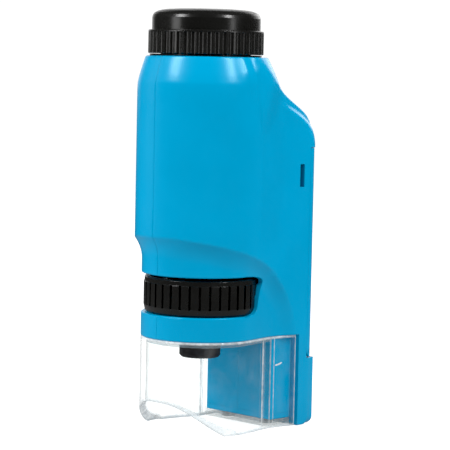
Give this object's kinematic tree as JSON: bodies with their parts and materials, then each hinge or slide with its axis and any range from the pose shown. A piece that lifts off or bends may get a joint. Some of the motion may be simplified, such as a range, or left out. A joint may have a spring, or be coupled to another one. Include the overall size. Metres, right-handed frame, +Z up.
{
  "type": "kids microscope",
  "caption": "Hand-held toy pocket microscope: blue barrel and battery spine, turning eye cap for zoom, focus ring in a window, lit clear base with a slide arch.",
  "frame": {"origin": "middle of the footprint's bounding box, on the table", "axes": "+Z up along the optical axis, front arch towards -Y, battery spine towards +Y, power switch on the -X flank"},
  "size_m": [0.045, 0.06, 0.1398],
  "materials": {
    "blue_plastic": "moulded ABS, fine satin gloss",
    "clear_plastic": "clear moulded styrene, polished",
    "black_plastic": "moulded black ABS, satin",
    "tube_plastic": "matt black moulding",
    "grey_plastic": "dark grey matt moulding",
    "tray_plastic": "black moulding",
    "lens": "polished lens",
    "battery_jacket": "plain printed jacket",
    "contact_metal": "nickel-plated spring steel",
    "screw_steel": "zinc-plated",
    "led_epoxy": "water-clear epoxy",
    "board_green": "solder mask",
    "resistor_body": "lacquered",
    "wire_red_pvc": "PVC",
    "wire_black_pvc": "PVC"
  },
  "bodies": {
    "housing": {"base_screws": "screw_steel", "battery_1": "battery_jacket", "battery_2": "battery_jacket", "battery_tray": "tray_plastic", "clear_base": "clear_plastic", "contact_bridge": "contact_metal", "contact_negative": "contact_metal", "contact_positive": "contact_metal", "door_hinge_pin": "screw_steel", "focus_guide_sleeve": "grey_plastic", "led": "led_epoxy", "led_board": "board_green", "led_resistor": "resistor_body", "left_body_shell": "blue_plastic", "neck_collar": "black_plastic", "optical_tube": "tube_plastic", "right_body_shell": "blue_plastic", "shell_screws": "screw_steel", "switch_body": "tray_plastic", "wire_battery": "wire_red_pvc", "wire_black": "wire_black_pvc", "wire_red": "wire_red_pvc"},
    "zoom_ring": {"zoom_cap": "black_plastic", "zoom_cam_sleeve": "tube_plastic"},
    "eyepiece": {"draw_tube": "tube_plastic", "field_lens": "lens", "lens_spacer": "tube_plastic", "eye_lens": "lens", "eyepiece_retainer": "black_plastic"},
    "focus_wheel": {"focus_ring": "black_plastic"},
    "objective": {"objective_barrel": "tube_plastic", "objective_tip": "grey_plastic", "objective_lens": "lens", "objective_back_lens": "lens"},
    "door": {"battery_door": "blue_plastic", "door_screw": "screw_steel"},
    "switch": {"switch_knob": "black_plastic"}
  },
  "joints": [
    {"name": "zoom_turn", "type": "hinge", "parent": "housing", "child": "zoom_ring", "pos_m": [0, -0.0075, 0.129], "axis": [0, 0, 1], "range_deg": [0, 150]},
    {"name": "eyepiece_slide", "type": "slide", "parent": "housing", "child": "eyepiece", "axis": [0, 0, 1], "range_m": [-0.00805, 0]},
    {"name": "focus_turn", "type": "hinge", "parent": "housing", "child": "focus_wheel", "pos_m": [0, -0.0075, 0.045], "axis": [0, 0, 1], "range_deg": [-90, 180]},
    {"name": "objective_slide", "type": "slide", "parent": "housing", "child": "objective", "axis": [0, 0, 1], "range_m": [-0.00605, 0.00305]},
    {"name": "battery_door_open", "type": "hinge", "parent": "housing", "child": "door", "pos_m": [0, 0.02785, 0.02465], "axis": [-1, 0, 0], "range_deg": [0, 75]},
    {"name": "power_switch", "type": "slide", "parent": "housing", "child": "switch", "axis": [0, 0, 1], "range_m": [0, 0.0025]}
  ],
  "couplings": [
    {"joint": "eyepiece_slide", "follows": "zoom_turn", "m_per_rad": -0.0030558},
    {"joint": "objective_slide", "follows": "focus_turn", "m_per_rad": -0.0019099}
  ]
}
